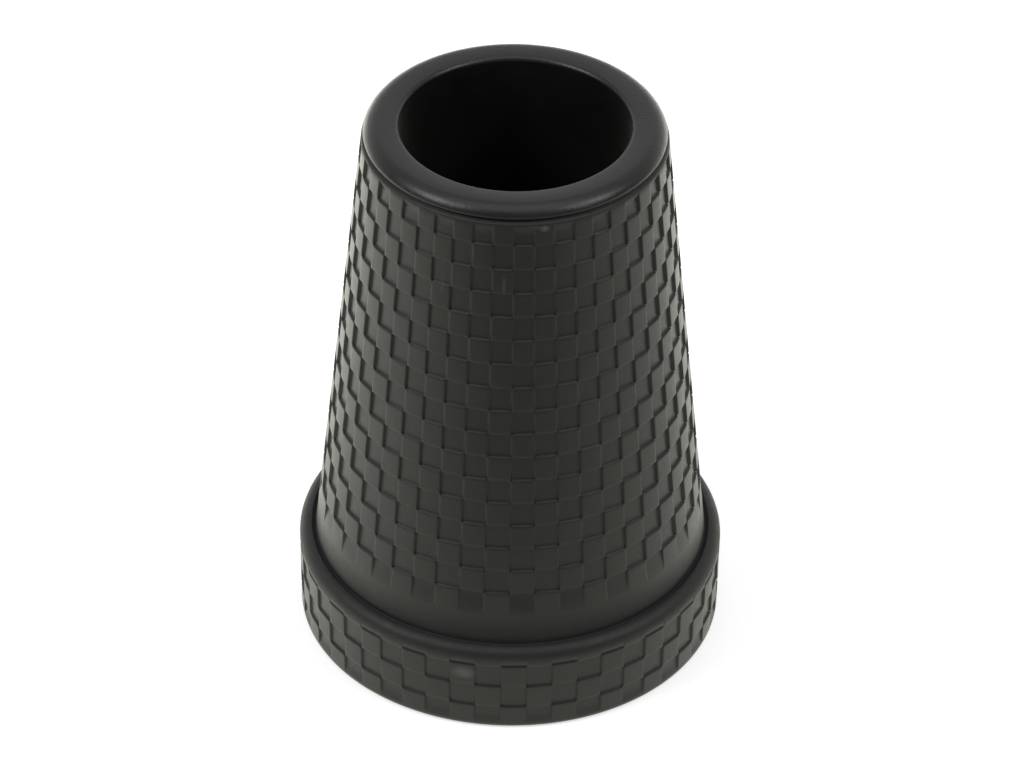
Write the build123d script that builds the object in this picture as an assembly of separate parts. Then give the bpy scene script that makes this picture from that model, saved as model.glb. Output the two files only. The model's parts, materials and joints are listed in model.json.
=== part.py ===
"""Rubber cane tip: one moulding, turned about +Z, standing on its sole with its mouth up.

Millimetres. The origin is the centre of the sole, where the axis meets the ground.
The fine chequer of pads on the body and the collar stands level with the faces modelled here.
"""

from build123d import *
import os

# Overall sizes
overall_height = 49.5
collar_diameter = 36.2
collar_height = 8.35

# The cane's shaft, and the blind bore that grips it
shaft_diameter = 19.0
shaft_clearance = 0.0
sole_thickness = 11.5
mouth_edge_radius = 0.4
bore_floor_radius = 1.5

# The rounded lip round the mouth, and the fine groove that parts it from the body
mouth_wall = 3.05
lip_edge_radius = 1.3
lip_edge_sweep = 70
lip_groove_depth = 0.25
lip_groove_drop = 0.15
body_setback = -0.07
body_top_drop = 1.3
body_top_rounding = 0.3

# The collar: its ledge round the foot of the body, its draft and its edges
collar_ledge = 1.4
collar_draft = 0.1
collar_edge_radius = 1.0
body_root_radius = 0.15
sole_edge_radius = 0.55

# The sole: a centre stud, two deep ring grooves and the ring between them
stud_diameter = 9.7
inner_groove_width = 2.7
ring_width = 3.4
outer_groove_width = 2.6
groove_depth = 3.5
groove_edge_radius = 0.25
groove_root_radius = 0.5

# Radii and heights that follow from the sizes above
bore_radius = shaft_diameter / 2 + shaft_clearance
bore_floor_height = sole_thickness
lip_radius = bore_radius + mouth_wall
lip_middle = (lip_radius - lip_edge_radius, overall_height - lip_edge_radius)
body_top_radius = lip_radius - body_setback
body_top_height = overall_height - body_top_drop
collar_radius = collar_diameter / 2
body_foot_radius = collar_radius - collar_ledge
sole_radius = collar_radius - collar_draft

stud_radius = stud_diameter / 2
ring_inner_radius = stud_radius + inner_groove_width
ring_outer_radius = ring_inner_radius + ring_width
rim_inner_radius = ring_outer_radius + outer_groove_width


def groove_corners(inner_radius, outer_radius):
    """The corners of one sole groove, from its inner edge to its outer edge."""
    return [
        (inner_radius, 0, groove_edge_radius),
        (inner_radius, groove_depth, groove_root_radius),
        (outer_radius, groove_depth, groove_root_radius),
        (outer_radius, 0, groove_edge_radius),
    ]


def sole_corners():
    """From the axis outwards along the ground to the foot of the collar."""
    return [
        (0, 0, 0),
        *groove_corners(stud_radius, ring_inner_radius),
        *groove_corners(ring_outer_radius, rim_inner_radius),
        (sole_radius, 0, sole_edge_radius),
    ]


def outside_corners():
    """Up the collar, over its ledge, up the tapered body and over the lip."""
    lip_foot_radius, lip_foot_height = (lip_edge() @ 0).X, (lip_edge() @ 0).Y
    return [
        (collar_radius, collar_height, collar_edge_radius),
        (body_foot_radius, collar_height, body_root_radius),
        (body_top_radius, body_top_height, body_top_rounding),
        (lip_foot_radius - lip_groove_depth, lip_foot_height - lip_groove_drop, 0),
        (lip_foot_radius, lip_foot_height, 0),
    ]


def bore_corners():
    """Over the edge of the mouth and down the bore to its floor, on the axis."""
    return [
        (bore_radius, overall_height, mouth_edge_radius),
        (bore_radius, bore_floor_height, bore_floor_radius),
        (0, bore_floor_height, 0),
    ]


def lip_edge():
    """The round of the lip's outer edge, from its foot to its flat top."""
    return CenterArc(
        lip_middle,
        lip_edge_radius,
        start_angle=90 - lip_edge_sweep,
        arc_size=lip_edge_sweep,
    )


def half_section():
    """Half of the tip's section, with its rounded corners."""
    lip_top = (lip_middle[0], overall_height)
    corners = sole_corners() + outside_corners() + bore_corners()
    lower = [(r, z) for r, z, _ in sole_corners() + outside_corners()]
    upper = [lip_top] + [(r, z) for r, z, _ in bore_corners()] + [(0, 0)]
    section = make_face([Polyline(*lower), lip_edge(), Polyline(*upper)])
    for r, z, rounding in corners:
        if rounding:
            corner = section.vertices().sort_by_distance((r, z))[0]
            section = fillet(corner, rounding)
    return section


def rubber_tip():
    """The whole tip, as the half section turned once round the axis."""
    return revolve(Plane.XZ * half_section(), Axis.Z)


os.makedirs("parts", exist_ok=True)
export_step(rubber_tip(), "parts/rubber_tip.step")
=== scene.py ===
"""The looks of the rubber cane tip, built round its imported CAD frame.

Everything is in metres, in the frame's own axes: +Z runs up the tip from its sole to its mouth.
One closed mesh stands for the CAD node: the turned section with its lip, collar, bore and grooved
sole, and the chequer of shallow pads that is moulded into its body and collar.
"""

import json
import logging
import math
from collections.abc import Mapping, Sequence
from dataclasses import dataclass, field
from enum import Enum

import bpy
import numpy as np
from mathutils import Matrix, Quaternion, Vector


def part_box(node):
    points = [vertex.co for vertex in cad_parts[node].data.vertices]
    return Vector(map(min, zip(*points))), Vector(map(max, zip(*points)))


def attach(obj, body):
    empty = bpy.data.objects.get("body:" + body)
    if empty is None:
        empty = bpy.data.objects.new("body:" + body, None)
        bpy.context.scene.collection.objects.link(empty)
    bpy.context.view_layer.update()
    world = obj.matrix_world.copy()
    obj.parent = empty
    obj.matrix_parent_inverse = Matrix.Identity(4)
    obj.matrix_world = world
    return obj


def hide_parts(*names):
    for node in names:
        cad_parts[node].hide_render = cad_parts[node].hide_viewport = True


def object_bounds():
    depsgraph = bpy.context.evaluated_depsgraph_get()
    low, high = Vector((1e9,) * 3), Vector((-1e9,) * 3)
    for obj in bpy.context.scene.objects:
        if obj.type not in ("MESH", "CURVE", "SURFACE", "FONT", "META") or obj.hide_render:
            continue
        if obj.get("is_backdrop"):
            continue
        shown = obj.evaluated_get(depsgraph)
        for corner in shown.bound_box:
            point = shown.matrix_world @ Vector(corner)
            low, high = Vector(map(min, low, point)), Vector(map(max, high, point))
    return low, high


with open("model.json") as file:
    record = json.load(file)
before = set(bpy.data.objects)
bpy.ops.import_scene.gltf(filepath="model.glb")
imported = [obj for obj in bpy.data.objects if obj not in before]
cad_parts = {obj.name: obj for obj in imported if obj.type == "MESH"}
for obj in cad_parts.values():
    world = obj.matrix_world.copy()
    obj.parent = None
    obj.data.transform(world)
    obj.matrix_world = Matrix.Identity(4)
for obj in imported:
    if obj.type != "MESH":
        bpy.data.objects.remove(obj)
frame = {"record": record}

MM = 0.001
NODE = "rubber_tip"
log = logging.getLogger("cane_tip")

Stops = tuple[tuple[float, float], ...]


# ---------------------------------------------------------------------------------------------
# Shader maths
# ---------------------------------------------------------------------------------------------


@dataclass(frozen=True)
class Value:
    """A number that varies over a surface: one output socket, with arithmetic on it."""

    graph: "Graph"
    socket: bpy.types.NodeSocket

    def _math(self, operation: str, first: "Value | float", second: "Value | float") -> "Value":
        """Add a Math node.

        Args:
            operation: the Math node's operation.
            first: its first term.
            second: its second term.

        Returns:
            The node's result.
        """
        return self.graph.math(operation, first, second)

    def __add__(self, other: "Value | float") -> "Value":
        """This plus other."""
        return self._math("ADD", self, other)

    __radd__ = __add__

    def __sub__(self, other: "Value | float") -> "Value":
        """This minus other."""
        return self._math("SUBTRACT", self, other)

    def __rsub__(self, other: "Value | float") -> "Value":
        """Other minus this."""
        return self._math("SUBTRACT", other, self)

    def __mul__(self, other: "Value | float") -> "Value":
        """This times other."""
        return self._math("MULTIPLY", self, other)

    __rmul__ = __mul__

    def __truediv__(self, other: "Value | float") -> "Value":
        """This divided by other."""
        return self._math("DIVIDE", self, other)

    def __rtruediv__(self, other: "Value | float") -> "Value":
        """Other divided by this."""
        return self._math("DIVIDE", other, self)


class Graph:
    """One node tree that is being built."""

    def __init__(self, tree: bpy.types.NodeTree) -> None:
        """Start from an empty tree.

        Args:
            tree: the tree of a material or a world.
        """
        self.tree = tree
        tree.nodes.clear()

    def node(
        self,
        kind: str,
        settings: Mapping[str, object] | None = None,
        inputs: Mapping[str, object] | None = None,
    ) -> bpy.types.Node:
        """Add a node.

        Args:
            kind: the node's type, such as "ShaderNodeTexNoise".
            settings: its properties, and "stops" for a ramp's (place, grey) pairs.
            inputs: a number, colour, Value or socket for each named socket.

        Returns:
            The new node.
        """
        made = self.tree.nodes.new(kind)
        for name, setting in (settings or {}).items():
            if name == "stops":
                self._set_stops(made.color_ramp, setting)
            else:
                setattr(made, name, setting)
        for name, given in (inputs or {}).items():
            socket = next(s for s in made.inputs if s.name == name and s.enabled)
            self._feed(socket, given)
        return made

    def _set_stops(self, ramp: bpy.types.ColorRamp, stops: Sequence[tuple[float, float]]) -> None:
        """Give a ramp its stops.

        Args:
            ramp: the ramp.
            stops: (place, grey) pairs, from left to right.
        """
        while len(ramp.elements) < len(stops):
            ramp.elements.new(1.0)
        for element, (place, grey) in zip(ramp.elements, stops):
            element.position = place
            element.color = (grey, grey, grey, 1.0)

    def _feed(self, socket: bpy.types.NodeSocket, given: object) -> None:
        """Link or set one input socket.

        Args:
            socket: the input.
            given: a Value or an output socket to link, or else a constant.
        """
        if isinstance(given, Value):
            self.tree.links.new(given.socket, socket)
        elif isinstance(given, bpy.types.NodeSocket):
            self.tree.links.new(given, socket)
        else:
            socket.default_value = given

    def math(self, operation: str, first: Value | float, second: Value | float = 0.0) -> Value:
        """Add a Math node.

        Args:
            operation: the operation's name.
            first: the first term.
            second: the second term.

        Returns:
            The result.
        """
        made = self.tree.nodes.new("ShaderNodeMath")
        made.operation = operation
        self._feed(made.inputs[0], first)
        self._feed(made.inputs[1], second)
        return Value(self, made.outputs[0])

    def axes(self, vector: bpy.types.NodeSocket) -> list[Value]:
        """Return the three numbers of a vector.

        Args:
            vector: the vector's socket.

        Returns:
            Its x, y and z.
        """
        parts = self.node("ShaderNodeSeparateXYZ", None, {"Vector": vector}).outputs
        return [Value(self, part) for part in parts]

    def glow(
        self, strength: Value, tint: tuple[float, ...] = (1.0, 1.0, 1.0, 1.0)
    ) -> bpy.types.NodeSocket:
        """Add an emission shader.

        Args:
            strength: how strong it is.
            tint: its colour.

        Returns:
            The shader.
        """
        inputs = {"Color": tint, "Strength": strength}
        return self.node("ShaderNodeEmission", None, inputs).outputs["Emission"]

    def add(
        self, first: bpy.types.NodeSocket, second: bpy.types.NodeSocket
    ) -> bpy.types.NodeSocket:
        """Add one shader to another.

        Args:
            first: the first shader.
            second: the second shader.

        Returns:
            Their sum.
        """
        made = self.node("ShaderNodeAddShader")
        self.tree.links.new(first, made.inputs[0])
        self.tree.links.new(second, made.inputs[1])
        return made.outputs["Shader"]

    def mix(
        self, share: Value, first: bpy.types.NodeSocket, second: bpy.types.NodeSocket
    ) -> bpy.types.NodeSocket:
        """Blend two shaders.

        Args:
            share: 0 for the first shader and 1 for the second.
            first: the first shader.
            second: the second shader.

        Returns:
            The blend.
        """
        made = self.node("ShaderNodeMixShader", None, {"Fac": share})
        self.tree.links.new(first, made.inputs[1])
        self.tree.links.new(second, made.inputs[2])
        return made.outputs["Shader"]

    def finish(self, shader: bpy.types.NodeSocket) -> None:
        """Make a shader the material's surface."""
        self.node("ShaderNodeOutputMaterial", None, {"Surface": shader})

    def place(self) -> bpy.types.NodeSocket:
        """Return the point on the object, in metres."""
        return self.node("ShaderNodeTexCoord").outputs["Object"]

    def painted(self, name: str) -> Value:
        """Read a number that is stored at the mesh's points.

        Args:
            name: the attribute's name.

        Returns:
            The number.
        """
        made = self.node("ShaderNodeAttribute", {"attribute_name": name})
        return Value(self, made.outputs["Fac"])

    def noise(self, size: float, detail: float = 3.0, roughness: float = 0.55) -> Value:
        """Add soft noise.

        Args:
            size: the breadth of its blotches, in metres.
            detail: how many finer layers it has.
            roughness: how strong the finer layers are.

        Returns:
            The noise, from 0 to 1.
        """
        made = self.node(
            "ShaderNodeTexNoise",
            {"normalize": True},
            {"Vector": self.place(), "Scale": 1.0 / size, "Detail": detail, "Roughness": roughness},
        )
        return Value(self, made.outputs["Fac"])

    def specks(self, spacing: float, reach: float) -> Value:
        """Scatter tiny separate specks.

        Args:
            spacing: the mean distance between specks, in metres.
            reach: a speck's radius as a share of the spacing.

        Returns:
            Their mask, 1 at their middles.
        """
        cells = self.node(
            "ShaderNodeTexVoronoi",
            {"feature": "F1"},
            {"Vector": self.place(), "Scale": 1.0 / spacing},
        )
        return self.ramp(Value(self, cells.outputs["Distance"]), [(0.0, 1.0), (reach, 0.0)])

    def ramp(self, given: Value, stops: Sequence[tuple[float, float]]) -> Value:
        """Pass a value through a ramp of greys.

        Args:
            given: the value.
            stops: (place, grey) pairs, from left to right.

        Returns:
            The grey.
        """
        made = self.node("ShaderNodeValToRGB", {"stops": stops}, {"Fac": given})
        return Value(self, made.outputs["Color"])

    def blend(self, share: Value, low: Sequence[float], high: object) -> bpy.types.NodeSocket:
        """Blend two colours.

        Args:
            share: 0 for the first colour and 1 for the second.
            low: the first colour, or a socket.
            high: the second colour, or a socket.

        Returns:
            The blend.
        """
        made = self.node(
            "ShaderNodeMix",
            {"data_type": "RGBA"},
            {"Factor": share, "A": low, "B": high},
        )
        return next(s for s in made.outputs if s.enabled)


# ---------------------------------------------------------------------------------------------
# Finishes
# ---------------------------------------------------------------------------------------------


def colour(red: float, green: float, blue: float) -> tuple[float, float, float, float]:
    """Return an opaque linear colour."""
    return (red, green, blue, 1.0)


@dataclass(frozen=True)
class Mark:
    """A small pale mark where the rubber is worn or dusty."""

    turn: float
    height: float
    radius: float
    half_width: float
    half_height: float
    strength: float
    reach: float = 2.0 * MM


@dataclass(frozen=True)
class MouldedRubber:
    """Black satin rubber: matter pad walls, seams and ledge, a fine grain, dust and worn marks."""

    name: str = "moulded_black_rubber"
    base: tuple[float, ...] = colour(0.006, 0.006, 0.0057)
    bloom: tuple[float, ...] = colour(0.010, 0.0099, 0.0093)
    dust: tuple[float, ...] = colour(0.16, 0.155, 0.145)
    # recess is the colour of painted shade on the floors of the pads' recesses.
    recess: tuple[float, ...] = colour(0.006, 0.006, 0.006)
    specular: float = 0.5
    sheen: float = 0.15
    sheen_roughness: float = 0.30
    sheen_tint: tuple[float, ...] = colour(1.0, 1.0, 0.94)
    roughness: float = 0.33
    ledge_roughness: float = 0.22
    wall_roughness: float = 0.5
    plain_gloss: float = 0.03
    recess_shade_share: float = 0.3
    recess_shade_ramp: Stops = ((0.0, 1.0), (0.55, 0.0))
    blotch: float = 5.0 * MM
    bloom_ramp: Stops = ((0.35, 0.0), (0.7, 1.0))
    scuff: float = 1.3 * MM
    scuff_ramp: Stops = ((0.3, 0.0), (0.75, 1.0))
    scuff_roughness: float = 0.10
    speck_spacing: float = 3.1 * MM
    speck_reach: float = 0.035
    speck_ramp: Stops = ((0.52, 0.0), (0.56, 1.0))
    speck_strength: float = 0.6
    mark_ramp: Stops = ((0.3, 1.0), (1.0, 0.0))
    grain: float = 0.22 * MM
    grain_share: float = 0.6
    scuff_share: float = 0.4
    bump: float = 0.35
    bump_height: float = 0.08 * MM
    marks: tuple[Mark, ...] = (
        Mark(-12.0, 5.8 * MM, 18.0 * MM, 1.2 * MM, 0.75 * MM, 0.45),
        Mark(11.3, 47.75 * MM, 12.6 * MM, 0.45 * MM, 0.36 * MM, 0.42),
        Mark(8.0, 47.9 * MM, 12.6 * MM, 0.7 * MM, 0.2 * MM, 0.16),
        Mark(-3.2, 42.5 * MM, 13.2 * MM, 0.18 * MM, 1.3 * MM, 0.18),
        Mark(-25.5, 41.8 * MM, 13.3 * MM, 0.18 * MM, 0.9 * MM, 0.12),
    )

    def _mark(self, graph: Graph, mark: Mark) -> Value:
        """Work out where one pale worn mark shows.

        Args:
            graph: the material's nodes.
            mark: the mark.

        Returns:
            Its mask, as strong as the mark at its middle.
        """
        x, y, z = graph.axes(graph.place())
        turn = math.radians(mark.turn)
        across = (x - mark.radius * math.sin(turn)) / mark.half_width
        inward = (y + mark.radius * math.cos(turn)) / mark.reach
        along = (z - mark.height) / mark.half_height
        spread = graph.math("SQRT", across * across + along * along + inward * inward)
        return graph.ramp(spread, self.mark_ramp) * mark.strength

    def build(self) -> bpy.types.Material:
        """Build the material.

        Returns:
            The finished material.
        """
        material = bpy.data.materials.new(self.name)
        material.use_nodes = True
        graph = Graph(material.node_tree)
        pad = graph.painted("pad")
        smooth = graph.painted("smooth")
        blotches = graph.noise(self.blotch, detail=4.0)
        grain = graph.noise(self.grain, detail=2.0)
        scuffs = graph.noise(self.scuff, detail=5.0, roughness=0.7)

        bloomed = graph.blend(graph.ramp(blotches, self.bloom_ramp), self.base, self.bloom)
        # Painted shade: the colour darkens towards the recess colour where the pads sink, but not
        # on smooth bands.
        painted_recess_shade = graph.ramp(pad, self.recess_shade_ramp) * (1 - smooth) * self.recess_shade_share
        shaded = graph.blend(painted_recess_shade, bloomed, self.recess)
        specks = graph.specks(self.speck_spacing, self.speck_reach)
        dusty = specks * graph.ramp(blotches, self.speck_ramp) * self.speck_strength
        worn = sum((self._mark(graph, mark) for mark in self.marks), start=dusty)
        dusted = graph.blend(worn, shaded, self.dust)

        patchy = graph.ramp(scuffs, self.scuff_ramp)
        matte = graph.painted("matte") * self.ledge_roughness
        matte = matte + graph.painted("wall") * self.wall_roughness
        patches = patchy * self.scuff_roughness
        roughness = self.roughness + patches - smooth * self.plain_gloss + matte
        height = grain * self.grain_share + scuffs * self.scuff_share
        bump = graph.node(
            "ShaderNodeBump",
            None,
            {"Strength": self.bump, "Distance": self.bump_height, "Height": height},
        )
        shader = graph.node(
            "ShaderNodeBsdfPrincipled",
            None,
            {
                "Base Color": dusted,
                "Roughness": roughness,
                "Specular IOR Level": self.specular,
                "Sheen Weight": self.sheen,
                "Sheen Roughness": self.sheen_roughness,
                "Sheen Tint": self.sheen_tint,
                "Normal": bump.outputs["Normal"],
            },
        )
        graph.finish(shader.outputs["BSDF"])
        return material


# ---------------------------------------------------------------------------------------------
# The tip
# ---------------------------------------------------------------------------------------------


class Zone(Enum):
    """A stretch of the tip's outline, with its own finish and its own number of columns."""

    SOLE = "sole"
    COLLAR = "collar"
    LEDGE = "ledge"
    BODY = "body"
    LIP = "lip"
    BORE = "bore"


@dataclass(frozen=True)
class Corner:
    """A corner of the outline, as a radius and a height, and the rounding that it gets."""

    radius: float
    height: float
    rounding: float = 0.0
    zone: Zone = Zone.SOLE
    steps: int = 4


@dataclass(frozen=True)
class Chequer:
    """A field of shallow square pads, staggered row by row like the squares of a chessboard."""

    columns: int
    pitch: float
    low: float
    high: float
    fade_low: float
    fade_high: float
    anchor: float
    depth: float = 0.23 * MM
    crispness: float = 30.0
    corner_softness: float = 0.05
    margin: float = 0.08 * MM
    turn: float = 0.0
    places: tuple[float, ...] = (-0.13, -0.045, -0.014, 0.014, 0.045, 0.13, 0.38, 0.62)

    def angles(self) -> np.ndarray:
        """Work out the angles of the mesh's columns.

        Returns:
            The angles, packed close at the walls of the pads.
        """
        square = 2 * math.pi / self.columns
        starts = np.arange(self.columns) * square + self.turn
        return np.concatenate([start + np.array(self.places) * square for start in starts])

    def heights(self) -> np.ndarray:
        """Work out the heights of the mesh's rows, from just under low to high.

        Returns:
            The heights, packed close at the walls of the pads.
        """
        first = math.floor((self.low - self.anchor) / self.pitch) - 1
        last = math.ceil((self.high - self.anchor) / self.pitch) + 1
        starts = self.anchor + np.arange(first, last) * self.pitch
        rows = np.concatenate([start + np.array(self.places) * self.pitch for start in starts])
        rows = rows[(rows > self.low + self.margin) & (rows < self.high - self.margin)]
        return np.concatenate([[self.low - self.margin, self.low], rows])

    def level(self, angle: np.ndarray, height: float) -> np.ndarray:
        """Work out how high the pads stand along one ring.

        Args:
            angle: the angles of the ring's points.
            height: the ring's height.

        Returns:
            0 on the floor of a recess and 1 on a pad, for each point.
        """
        across = np.sin((angle - self.turn) * self.columns / 2)
        up = math.sin((height - self.anchor) / self.pitch * math.pi)
        inside = across * up / np.hypot(np.hypot(across, up), self.corner_softness)
        return 0.5 + 0.5 * np.tanh(self.crispness * inside)

    def strength(self, height: float) -> float:
        """Work out how much of the full relief is left at a height.

        Args:
            height: the height on the tip.

        Returns:
            1 in the field's middle, falling to 0 at its ends.
        """
        low = min(1.0, max(0.0, (height - self.low) / self.fade_low))
        high = min(1.0, max(0.0, (self.high - height) / self.fade_high))
        return ease(low) * ease(high)


def ease(share: float) -> float:
    """Return a share from 0 to 1 with soft ends."""
    return share * share * (3 - 2 * share)


@dataclass(frozen=True)
class Ring:
    """One ring of the mesh: a point of the outline, turned round the axis."""

    radius: float
    height: float
    zone: Zone


@dataclass
class CaneTip:
    """The whole tip, which is one moulding."""

    finish: MouldedRubber = field(default_factory=MouldedRubber)
    mouth_wall: float = 3.05 * MM
    mouth_edge: float = 0.4 * MM
    bore_floor: float = 11.5 * MM
    bore_floor_edge: float = 1.5 * MM
    lip_edge: float = 1.3 * MM
    lip_sweep: float = 70.0
    lip_groove_depth: float = 0.42 * MM
    lip_groove_drop: float = 0.22 * MM
    lip_groove_root: float = 0.06 * MM
    body_top_drop: float = 1.3 * MM
    body_top_rounding: float = 0.3 * MM
    body_overhang: float = 0.07 * MM
    body_pads_stop: float = 0.25 * MM
    collar_radius: float = 18.1 * MM
    collar_height: float = 8.35 * MM
    collar_ledge: float = 1.4 * MM
    collar_draft: float = 0.1 * MM
    collar_edge: float = 1.0 * MM
    collar_pads_start: float = 0.1 * MM
    collar_pads_stop: float = 1.35 * MM
    gutter_width: float = 0.35 * MM
    gutter_depth: float = 0.3 * MM
    gutter_edge: float = 0.08 * MM
    gutter_root: float = 0.05 * MM
    sole_edge: float = 0.55 * MM
    stud_radius: float = 4.85 * MM
    inner_groove_width: float = 2.7 * MM
    ring_width: float = 3.4 * MM
    outer_groove_width: float = 2.6 * MM
    groove_depth: float = 3.5 * MM
    groove_edge: float = 0.25 * MM
    groove_root: float = 0.5 * MM
    plain_columns: int = 192
    bore_rows: int = 8
    bore_run: float = 10 * MM
    wall_spread: float = 6.0

    def __post_init__(self) -> None:
        """Take the height and the bore from the frame, and lay out the two fields of pads."""
        _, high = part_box(NODE)
        bore = next(m for m in frame["record"]["mounts"] if m["kind"] == "bore")
        self.height = high.z
        self.bore_radius = bore["dims"]["r_mm"] * MM
        self.lip_radius = self.bore_radius + self.mouth_wall
        self.body_top = self.height - self.body_top_drop
        self.body_pads = Chequer(
            columns=48,
            pitch=2.208 * MM,
            low=10.88 * MM,
            high=self.body_top - self.body_pads_stop,
            fade_low=2.2 * MM,
            fade_high=0.25 * MM,
            anchor=13.09 * MM,
        )
        self.collar_pads = Chequer(
            columns=52,
            pitch=2.2 * MM,
            low=self.sole_edge + self.collar_pads_start,
            high=self.collar_height - self.collar_pads_stop,
            fade_low=0.5 * MM,
            fade_high=0.35 * MM,
            anchor=0.15 * MM,
            depth=0.18 * MM,
            turn=math.radians(-2.0),
        )

    def outline(self) -> list[Corner]:
        """List the outline's corners.

        Returns:
            The corners, from the axis at the sole round to the axis in the bore.
        """
        corners = [Corner(0.0, 0.0)]
        corners += self._groove(self.stud_radius, self.inner_groove_width)
        ring_outer = self.stud_radius + self.inner_groove_width + self.ring_width
        corners += self._groove(ring_outer, self.outer_groove_width)
        foot = self.collar_radius - self.collar_ledge
        lip = self._lip_edge()
        lip_foot = lip[0]
        corners += [
            Corner(self.collar_radius - self.collar_draft, 0.0, self.sole_edge, Zone.COLLAR, 5),
            Corner(self.collar_radius, self.collar_height, self.collar_edge, Zone.LEDGE, 8),
            Corner(foot + self.gutter_width, self.collar_height, self.gutter_edge, Zone.LEDGE, 2),
            Corner(
                foot,
                self.collar_height - self.gutter_depth,
                self.gutter_root,
                Zone.BODY,
                2,
            ),
            Corner(
                self.lip_radius + self.body_overhang,
                self.body_top,
                self.body_top_rounding,
                Zone.LIP,
                4,
            ),
            Corner(
                lip_foot[0] - self.lip_groove_depth,
                lip_foot[1] - self.lip_groove_drop,
                self.lip_groove_root,
                Zone.LIP,
                2,
            ),
        ]
        corners += [Corner(radius, height, 0.0, Zone.LIP) for radius, height in lip]
        corners += [
            Corner(self.bore_radius, self.height, self.mouth_edge, Zone.BORE, 4),
            Corner(self.bore_radius, self.bore_floor, self.bore_floor_edge, Zone.BORE, 5),
            Corner(0.0, self.bore_floor, 0.0, Zone.BORE),
        ]
        return corners

    def _lip_edge(self, steps: int = 9) -> list[tuple[float, float]]:
        """Work out the round of the lip's outer edge.

        Args:
            steps: how many straight steps stand for it.

        Returns:
            Its (radius, height) points, from its foot to the flat top.
        """
        turns_up = [math.radians(90 - self.lip_sweep * (1 - k / steps)) for k in range(steps + 1)]
        radius, height = self.lip_radius - self.lip_edge, self.height - self.lip_edge
        return [
            (radius + self.lip_edge * math.cos(t), height + self.lip_edge * math.sin(t))
            for t in turns_up
        ]

    def _groove(self, inner: float, width: float) -> list[Corner]:
        """List the corners of one sole groove.

        Args:
            inner: the groove's inner radius.
            width: its width.

        Returns:
            Its four corners, outwards.
        """
        return [
            Corner(inner, 0.0, self.groove_edge),
            Corner(inner, self.groove_depth, self.groove_root),
            Corner(inner + width, self.groove_depth, self.groove_root),
            Corner(inner + width, 0.0, self.groove_edge),
        ]

    def rings(self) -> list[Ring]:
        """Turn the outline into the mesh's rings.

        Returns:
            The rings, with rounded corners and rows for the pads.
        """
        corners = self.outline()
        rings = []
        for before, corner, after in zip(corners, corners[1:], corners[2:]):
            for radius, height in rounded(before, corner, after):
                rings.append(Ring(radius, height, corner.zone))
        return self._with_rows(rings)

    def _with_rows(self, rings: list[Ring]) -> list[Ring]:
        """Add the rings that the pads need along the collar and the body, and a few on long runs.

        Args:
            rings: the rings at the outline's corners.

        Returns:
            All rings, in order.
        """
        made = []
        for ring, following in zip(rings, rings[1:] + [None]):
            made.append(ring)
            if following is None:
                continue
            if ring.zone is Zone.COLLAR and following.zone is Zone.LEDGE:
                made += between(ring, following, self.collar_pads.heights(), Zone.COLLAR)
            elif ring.zone is Zone.BODY and following.zone is Zone.LIP:
                made += between(ring, following, self.body_pads.heights(), Zone.BODY)
            elif ring.zone is Zone.BORE and ring.height - following.height > self.bore_run:
                rows = np.linspace(ring.height, following.height, self.bore_rows)[1:-1]
                made += between(ring, following, rows, Zone.BORE)
        return made

    def points(self) -> tuple[list[np.ndarray], ...]:
        """Work out every ring's points.

        Returns:
            For each ring, its points, its angles, its pads' levels and walls, and whether it is
            smooth and whether it is matte.
        """
        rings = self.rings()
        placed, angles, levels, walls, smooth, matte = [], [], [], [], [], []
        for index, ring in enumerate(rings):
            pads = self._pads(ring.zone)
            angle = pads.angles() if pads else turns(self.plain_columns)
            strength = 0.0
            if ring.zone in (Zone.COLLAR, Zone.BODY):
                strength = pads.strength(ring.height)
            level = pads.level(angle, ring.height) if pads else np.ones_like(angle)
            inward, down = self._inward(rings, index)
            sink = (1 - level) * strength * (pads.depth if pads else 0.0)
            radius = ring.radius + inward * sink
            height = ring.height + down * sink
            seam = ring.zone is Zone.LIP and ring.height < self.body_top + self.body_top_rounding
            seam = seam or ring.zone is Zone.BODY and ring.height < self.collar_height
            matte.append(np.full_like(angle, float(seam or ring.zone is Zone.LEDGE)))
            placed.append(
                np.stack([radius * np.sin(angle), -radius * np.cos(angle), height], axis=1)
            )
            angles.append(angle)
            levels.append(1 - (1 - level) * strength)
            walls.append(np.minimum(1, self.wall_spread * level * (1 - level)) * strength)
            smooth.append(1.0 - strength)
        return placed, angles, levels, walls, smooth, matte

    def _pads(self, zone: Zone) -> Chequer | None:
        """Choose the field of pads whose columns a zone shares.

        Args:
            zone: the zone.

        Returns:
            The field, or None where the columns are plain.
        """
        if zone in (Zone.COLLAR, Zone.LEDGE):
            return self.collar_pads
        if zone in (Zone.BODY, Zone.LIP):
            return self.body_pads
        return None

    def _inward(self, rings: list[Ring], index: int) -> tuple[float, float]:
        """Work out the way into the rubber at one ring.

        Args:
            rings: all rings, in order.
            index: the ring's place among them.

        Returns:
            A unit step, as a radius and a height.
        """
        before = rings[max(index - 1, 0)]
        after = rings[min(index + 1, len(rings) - 1)]
        along = Vector((after.radius - before.radius, after.height - before.height))
        if along.length == 0:
            return 0.0, 0.0
        along.normalize()
        return -along.y, along.x

    def build(self) -> bpy.types.Object:
        """Build the tip as one closed mesh.

        Returns:
            The object, dressed and riding on its body.
        """
        placed, angles, levels, walls, smooth, matte = self.points()
        starts = np.cumsum([0] + [len(ring) for ring in placed])
        faces = []
        for i in range(len(placed) - 1):
            faces += sew(angles[i], int(starts[i]), angles[i + 1], int(starts[i + 1]))
        vertices = np.concatenate(placed)
        count = len(vertices)
        sole_middle, bore_middle = count, count + 1
        middles = np.array([[0.0, 0.0, 0.0], [0.0, 0.0, self.bore_floor]])
        vertices = np.concatenate([vertices, middles])
        first, last = len(placed[0]), len(placed[-1])
        faces += [(sole_middle, (i + 1) % first, i) for i in range(first)]
        start = int(starts[-2])
        faces += [(bore_middle, start + i, start + (i + 1) % last) for i in range(last)]

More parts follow.
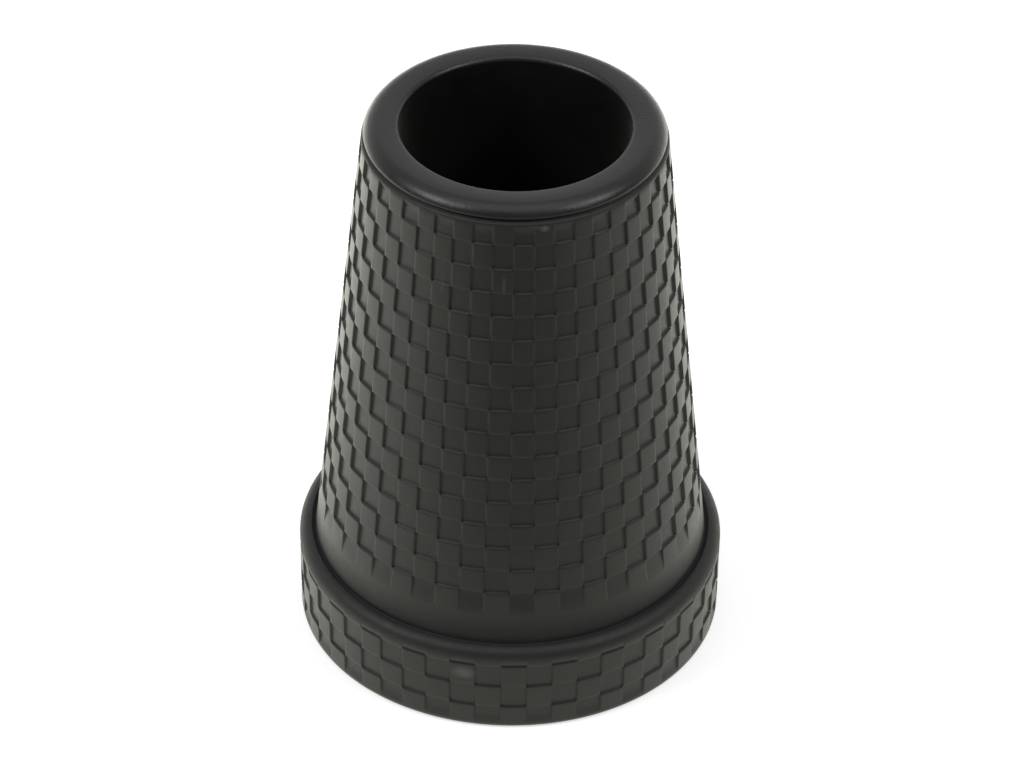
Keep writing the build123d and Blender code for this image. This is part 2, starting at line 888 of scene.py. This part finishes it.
        mesh = bpy.data.meshes.new(NODE)
        mesh.from_pydata(vertices.tolist(), [], faces)
        mesh.validate()
        mesh.polygons.foreach_set("use_smooth", [True] * len(mesh.polygons))
        paint(mesh, "pad", np.concatenate(levels + [np.ones(2)]))
        flat = [np.full(len(ring), share) for ring, share in zip(placed, smooth)]
        paint(mesh, "smooth", np.concatenate(flat + [np.ones(2)]))
        paint(mesh, "matte", np.concatenate(matte + [np.zeros(2)]))
        paint(mesh, "wall", np.concatenate(walls + [np.zeros(2)]))
        tip = bpy.data.objects.new("moulded_tip", mesh)
        bpy.context.scene.collection.objects.link(tip)
        mesh.materials.append(self.finish.build())
        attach(tip, "root")
        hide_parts(NODE)
        log.info("%s: %d points, %d faces", tip.name, len(mesh.vertices), len(mesh.polygons))
        return tip


def paint(mesh: bpy.types.Mesh, name: str, numbers: np.ndarray) -> None:
    """Store a number at each of a mesh's points.

    Args:
        mesh: the mesh.
        name: the attribute's name.
        numbers: one number for each point.
    """
    attribute = mesh.attributes.new(name, "FLOAT", "POINT")
    attribute.data.foreach_set("value", numbers.astype(np.float32))


def turns(columns: int) -> np.ndarray:
    """Return evenly spaced angles for a ring of that many columns."""
    return np.arange(columns) * 2 * math.pi / columns


def rounded(before: Corner, corner: Corner, after: Corner) -> list[tuple[float, float]]:
    """Round one corner of an outline.

    Args:
        before: the corner before it.
        corner: the corner.
        after: the corner after it.

    Returns:
        The points along its arc, or the corner itself if it is sharp.
    """
    here = Vector((corner.radius, corner.height))
    if corner.rounding == 0:
        return [(here.x, here.y)]
    back = (Vector((before.radius, before.height)) - here).normalized()
    ahead = (Vector((after.radius, after.height)) - here).normalized()
    half = back.angle(ahead) / 2
    middle = here + (back + ahead).normalized() * corner.rounding / math.sin(half)
    start = here + back * corner.rounding / math.tan(half) - middle
    sweep = start.angle_signed(here + ahead * corner.rounding / math.tan(half) - middle)
    made = []
    for step in range(corner.steps + 1):
        turn = -sweep * step / corner.steps
        cos, sin = math.cos(turn), math.sin(turn)
        made.append(
            (middle.x + start.x * cos - start.y * sin, middle.y + start.x * sin + start.y * cos)
        )
    return made


def between(low: Ring, high: Ring, rows: np.ndarray, zone: Zone) -> list[Ring]:
    """Add rings on the straight run between two rings.

    Args:
        low: the run's first ring.
        high: its last ring.
        rows: the heights of the new rings.
        zone: the zone that they belong to.

    Returns:
        The new rings that lie between the two, in order.
    """
    made = []
    for row in rows:
        share = (row - low.height) / (high.height - low.height)
        if 0 < share < 1:
            made.append(Ring(low.radius + (high.radius - low.radius) * share, float(row), zone))
    return made


def sew(
    low: np.ndarray, low_start: int, high: np.ndarray, high_start: int
) -> list[tuple[int, ...]]:
    """Join two rings with faces, whatever the numbers of their points.

    Args:
        low: the first ring's angles, in order.
        low_start: the index of its first point.
        high: the second ring's angles, in order.
        high_start: the index of its first point.

    Returns:
        Quads where the rings match, and otherwise triangles.
    """
    m, n = len(low), len(high)
    if m == n and np.allclose(low, high):
        return [
            (low_start + i, low_start + (i + 1) % m, high_start + (i + 1) % n, high_start + i)
            for i in range(m)
        ]
    full = 2 * math.pi
    offset = int(np.argmin(np.abs((high - low[0] + math.pi) % full - math.pi)))
    ordered = [(offset + k) % n for k in range(n)]
    turned = [(high[k] - high[ordered[0]]) % full for k in ordered] + [full]
    lows = [(a - low[0]) % full for a in low] + [full]
    faces = []
    i = j = 0
    while i < m or j < n:
        a, b = low_start + i % m, high_start + ordered[j % n]
        if j >= n or (i < m and lows[i + 1] <= turned[j + 1]):
            faces.append((a, low_start + (i + 1) % m, b))
            i += 1
        else:
            faces.append((a, high_start + ordered[(j + 1) % n], b))
            j += 1
    return faces


# ---------------------------------------------------------------------------------------------
# The studio
# ---------------------------------------------------------------------------------------------


@dataclass(frozen=True)
class Softbox:
    """A square area lamp, aimed at a point."""

    name: str
    place: tuple[float, float, float]
    target: tuple[float, float, float]
    size: float
    power: float

    def build(self) -> bpy.types.Object:
        """Build the lamp.

        Returns:
            The lamp, in place.
        """
        data = bpy.data.lights.new(self.name, "AREA")
        data.size = self.size
        data.energy = self.power
        lamp = bpy.data.objects.new(self.name, data)
        lamp.location = self.place
        aim = Vector(self.target) - Vector(self.place)
        lamp.rotation_euler = aim.to_track_quat("-Z", "Y").to_euler()
        bpy.context.scene.collection.objects.link(lamp)
        return lamp


@dataclass
class Studio:
    """A white floor, a soft lamp high at each side, a pale room and a long lens from above.

    The camera sees the floor and the room as white. Reflections see them uneven: dim in front and
    bright behind, where the floor's glow passes that of white.
    """

    elevation: float = 37.0
    distance: float = 0.468
    lens: float = 195.3
    sensor: float = 36.0
    near_clip: float = 0.01
    roll: float = 0.75
    drop: float = 1.56 * MM
    floor_half: float = 1.2
    floor_grey: float = 0.8
    floor_lift: float = 0.6
    far_lift: float = 0.45
    far_floor: float = 150 * MM
    near_floor: float = 30 * MM
    surround: float = 0.7
    front_glow: float = 0.34
    foot_glow: float = 0.78
    foot_shade: float = 0.6
    side_glow: float = 2.6
    lean: float = 0.17
    warmth: tuple[float, ...] = colour(1.0, 1.0, 0.9)
    floor_turn: Stops = (
        (0.0, 0.0),
        (0.026, 0.04),
        (0.105, 0.14),
        (0.22, 0.26),
        (0.455, 0.43),
        (0.65, 0.57),
        (0.9, 1.0),
    )
    room_glow: float = 0.22
    ceiling: float = 1.0
    wall_turn: Stops = ((0.2, 0.0), (0.6, 1.0))
    wall_fall: Stops = ((0.0, 1.0), (0.35, 0.95), (0.62, 0.55), (0.9, 0.5))
    ceiling_turn: Stops = ((0.75, 0.0), (0.95, 1.0))
    lamp_aside: float = 0.34
    lamp_forward: float = 0.14
    lamp_height: float = 0.39
    lamp_size: float = 0.22
    left_power: float = 0.85
    right_power: float = 0.65

    def build(self) -> None:
        """Build the floor, the lamps, the world and the camera."""
        low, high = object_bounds()
        centre = (low + high) / 2
        self._build_floor(low.z)
        self._build_world()
        for lamp in self._lamps(centre):
            lamp.build()
            log.info("lamp %s at %s", lamp.name, lamp.place)
        self._build_camera(centre)
        view = bpy.context.scene.view_settings
        view.view_transform = "Standard"

    def _lamps(self, centre: Vector) -> list[Softbox]:
        """List the lamps.

        Args:
            centre: the middle of the object.

        Returns:
            The lamps, from left to right.
        """
        aim = (0.0, 0.0, centre.z)
        left = (-self.lamp_aside, -self.lamp_forward, self.lamp_height)
        right = (self.lamp_aside, -self.lamp_forward, self.lamp_height)
        return [
            Softbox("left_softbox", left, aim, self.lamp_size, self.left_power),
            Softbox("right_softbox", right, aim, self.lamp_size, self.right_power),
        ]

    def _build_floor(self, height: float) -> None:
        """Build the white floor, which keeps the tip's soft shadow.

        Args:
            height: the height of the ground.
        """
        half = self.floor_half
        mesh = bpy.data.meshes.new("floor")
        signs = ((-1, -1), (1, -1), (1, 1), (-1, 1))
        corners = [(side * half, depth * half, height) for side, depth in signs]
        mesh.from_pydata(corners, [], [(0, 1, 2, 3)])
        floor = bpy.data.objects.new("floor", mesh)
        bpy.context.scene.collection.objects.link(floor)
        material = bpy.data.materials.new("white_sweep")
        material.use_nodes = True
        graph = Graph(material.node_tree)
        camera, glossy = self._rays(graph)
        x, y, _ = graph.axes(graph.place())
        reach = graph.math("SQRT", x * x + y * y + self.near_floor**2)
        side = graph.ramp(0.5 + 0.5 * y / reach, self.floor_turn)
        near = self.near_floor**2 / (reach * reach)
        front = self.front_glow + (self.foot_glow - self.front_glow) * near
        grey = colour(self.floor_grey, self.floor_grey, self.floor_grey)
        paper = graph.node("ShaderNodeBsdfDiffuse", None, {"Color": grey})
        away = (x * x + y * y) / (x * x + y * y + self.far_floor**2)
        lit = graph.glow(camera * (self.floor_lift + self.far_lift * away))
        seen = graph.add(paper.outputs["BSDF"], lit)
        level = front + (self.side_glow - front) * side * (1 - self.foot_shade * near)
        mirrored = graph.glow(level * (1 - self.lean * x / reach), self.warmth)
        graph.finish(graph.mix(glossy, seen, mirrored))
        mesh.materials.append(material)
        floor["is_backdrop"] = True

    def _rays(self, graph: Graph) -> tuple[Value, Value]:
        """Tell the kinds of rays apart.

        Args:
            graph: the nodes of a material or a world.

        Returns:
            1 for camera rays, and 1 for rays from a gloss or through glass.
        """
        path = graph.node("ShaderNodeLightPath")
        camera, glossy, through = (
            Value(graph, path.outputs[name])
            for name in ("Is Camera Ray", "Is Glossy Ray", "Is Transmission Ray")
        )
        return camera, graph.math("MAXIMUM", glossy, through)

    def _build_world(self) -> None:
        """Build the room: white to the camera, and else bright behind and above, dim in front."""
        world = bpy.data.worlds.new("surround")
        world.use_nodes = True
        bpy.context.scene.world = world
        graph = Graph(world.node_tree)
        camera, glossy = self._rays(graph)
        direction = graph.node("ShaderNodeTexCoord").outputs["Generated"]
        _, y, rise = graph.axes(direction)
        backdrop = graph.ramp(y, self.wall_turn)
        fall = graph.ramp(rise, self.wall_fall)
        top = graph.ramp(rise, self.ceiling_turn)
        wall = backdrop * fall + (1 - backdrop) * (self.room_glow + self.ceiling * top)
        light = wall * graph.math("MAXIMUM", glossy, self.surround)
        strength = graph.math("MAXIMUM", camera, light)
        shader = graph.node(
            "ShaderNodeBackground", None, {"Color": colour(1, 1, 1), "Strength": strength}
        )
        graph.node("ShaderNodeOutputWorld", None, {"Surface": shader.outputs["Background"]})

    def _build_camera(self, centre: Vector) -> None:
        """Build the camera, looking down at the tip through a long lens.

        Args:
            centre: the middle of the object.
        """
        data = bpy.data.cameras.new("camera")
        data.lens = self.lens
        data.sensor_width = self.sensor
        data.clip_start = self.near_clip
        camera = bpy.data.objects.new("camera", data)
        bpy.context.scene.collection.objects.link(camera)
        tilt = math.radians(self.elevation)
        back = Vector((0.0, -math.cos(tilt), math.sin(tilt)))
        up = Vector((0.0, math.sin(tilt), math.cos(tilt)))
        camera.location = Vector((0.0, 0.0, centre.z)) + back * self.distance - up * self.drop
        look = (-back).to_track_quat("-Z", "Y") @ Quaternion((0, 0, 1), math.radians(self.roll))
        camera.rotation_mode = "QUATERNION"
        camera.rotation_quaternion = look
        bpy.context.scene.camera = camera


def main() -> None:
    """Build the tip and the studio round it."""
    logging.basicConfig(level=logging.INFO, format="%(message)s")
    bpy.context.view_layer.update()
    tip = CaneTip().build()
    log.info("%s is %s in size", tip.name, [round(side / MM, 2) for side in tip.dimensions])
    Studio().build()


if __name__ == "__main__":
    main()
